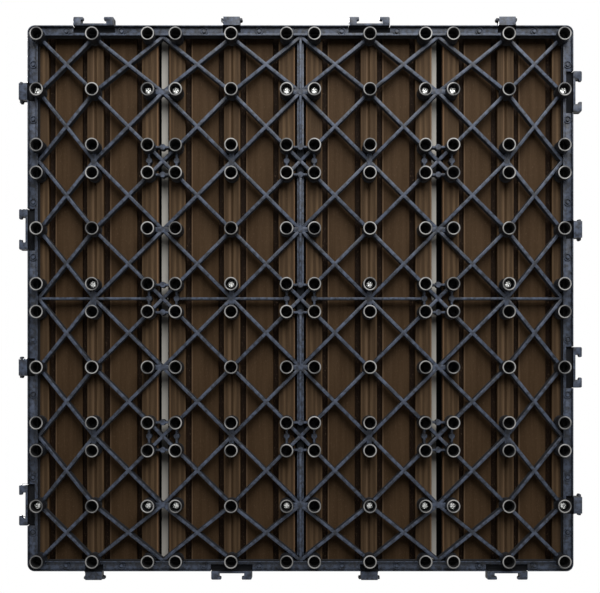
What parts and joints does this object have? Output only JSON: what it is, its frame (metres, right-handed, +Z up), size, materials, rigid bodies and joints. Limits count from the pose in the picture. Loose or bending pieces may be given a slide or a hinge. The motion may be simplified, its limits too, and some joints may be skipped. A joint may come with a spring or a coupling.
{
  "type": "interlocking deck tile",
  "caption": "Square interlocking deck tile: composite slats screwed onto a moulded black plastic grid of hollow legs and diagonal ribs, with hook and tongue connectors on every side.",
  "frame": {"origin": "middle of the tile on the ground plane under the legs", "axes": "+Z up to the walking surface, +Y along the slats, +X across the slats; the picture looks at the underside with -Y at its top and +X to its right"},
  "size_m": [0.3066, 0.3066, 0.023],
  "materials": {
    "grid_plastic": "moulded polypropylene, dark charcoal, satin",
    "slat_composite": "extruded wood-plastic composite, dark brown, matt",
    "screw_steel": "bright zinc-plated steel"
  },
  "bodies": {
    "root": {"base_grid": "grid_plastic", "slat_1": "slat_composite", "slat_2": "slat_composite", "slat_3": "slat_composite", "slat_4": "slat_composite", "screws": "screw_steel"}
  },
  "joints": []
}
